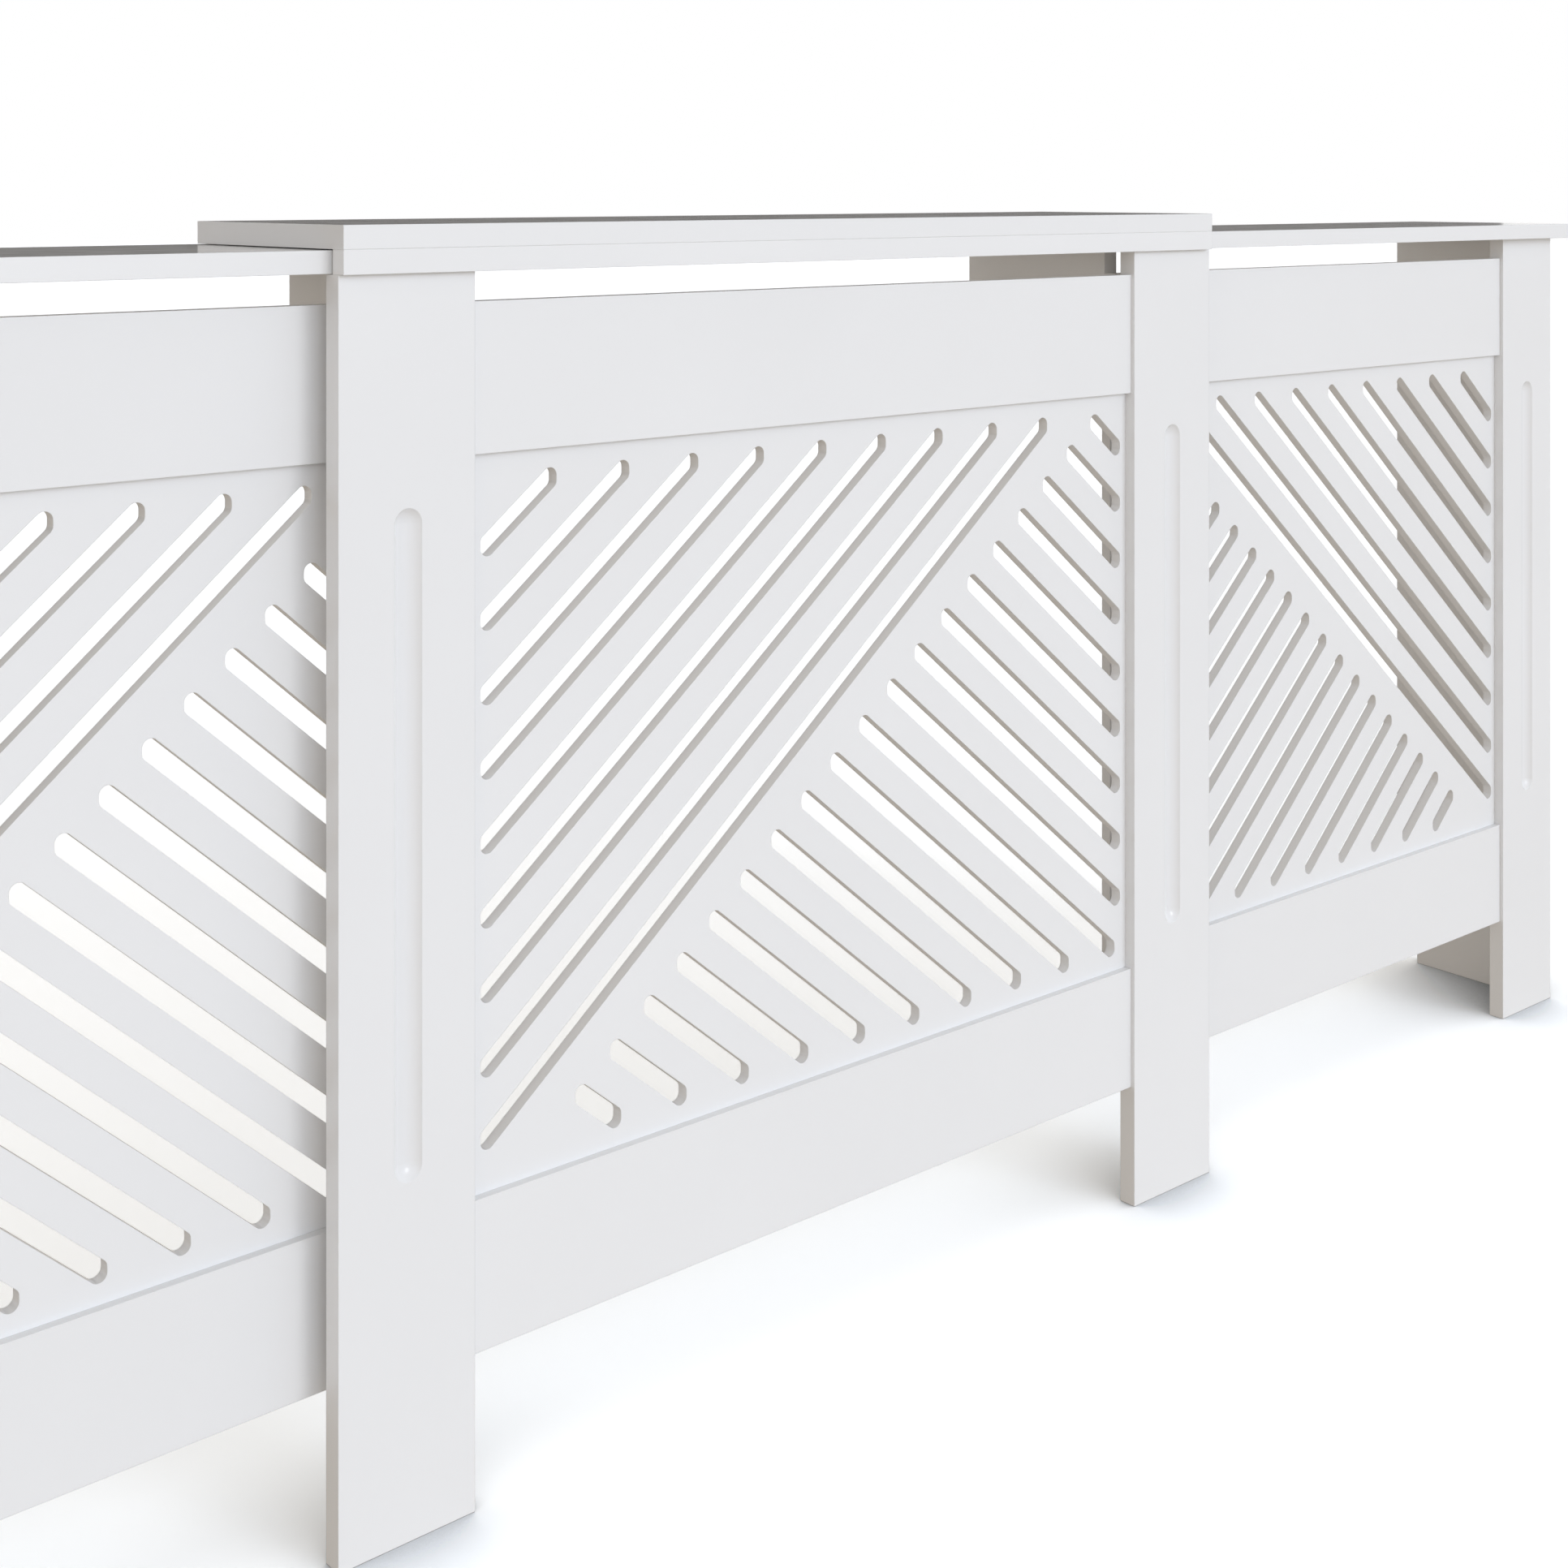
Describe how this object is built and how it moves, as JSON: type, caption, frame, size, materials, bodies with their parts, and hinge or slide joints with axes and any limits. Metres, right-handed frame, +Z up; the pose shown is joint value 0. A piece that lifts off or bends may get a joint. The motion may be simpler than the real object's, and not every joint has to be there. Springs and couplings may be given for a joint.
{
  "type": "radiator cover cabinet",
  "caption": "Extending radiator cover: framed front of slotted chevron lattices under a shelf top, with side units that slide in behind the centre to shorten it.",
  "frame": {"origin": "on the floor, in the middle of the extended cover's outline", "axes": "+X to the right as seen from the room, +Y back towards the wall, +Z up"},
  "size_m": [2.0604, 0.2056, 0.8205],
  "materials": {
    "painted_board": "satin white paint on fibreboard",
    "dowel_wood": "bare beech",
    "zinc_steel": "bright zinc plate"
  },
  "bodies": {
    "centre_unit": {"centre_top_board": "painted_board", "centre_front_lip": "painted_board", "centre_leg_left": "painted_board", "centre_leg_right": "painted_board", "centre_top_rail": "painted_board", "centre_bottom_rail": "painted_board", "centre_lattice": "painted_board", "centre_board_dowels": "dowel_wood", "centre_frame_dowels": "dowel_wood", "centre_lattice_screws": "zinc_steel"},
    "left_unit": {"left_shelf": "painted_board", "left_leg": "painted_board", "left_outer_panel": "painted_board", "left_inner_bearer": "painted_board", "left_top_rail": "painted_board", "left_bottom_rail": "painted_board", "left_lattice": "painted_board", "left_shelf_dowels": "dowel_wood", "left_frame_dowels": "dowel_wood", "left_panel_dowels": "dowel_wood", "left_lattice_screws": "zinc_steel", "left_wall_bracket": "zinc_steel", "left_bracket_screws": "zinc_steel"},
    "right_unit": {"right_shelf": "painted_board", "right_leg": "painted_board", "right_outer_panel": "painted_board", "right_inner_bearer": "painted_board", "right_top_rail": "painted_board", "right_bottom_rail": "painted_board", "right_lattice": "painted_board", "right_shelf_dowels": "dowel_wood", "right_frame_dowels": "dowel_wood", "right_panel_dowels": "dowel_wood", "right_lattice_screws": "zinc_steel", "right_wall_bracket": "zinc_steel", "right_bracket_screws": "zinc_steel"}
  },
  "joints": [
    {"name": "left_slide", "type": "slide", "parent": "centre_unit", "child": "left_unit", "axis": [1, 0, 0], "range_m": [0, 0.326]},
    {"name": "right_slide", "type": "slide", "parent": "centre_unit", "child": "right_unit", "axis": [-1, 0, 0], "range_m": [0, 0.326]}
  ]
}
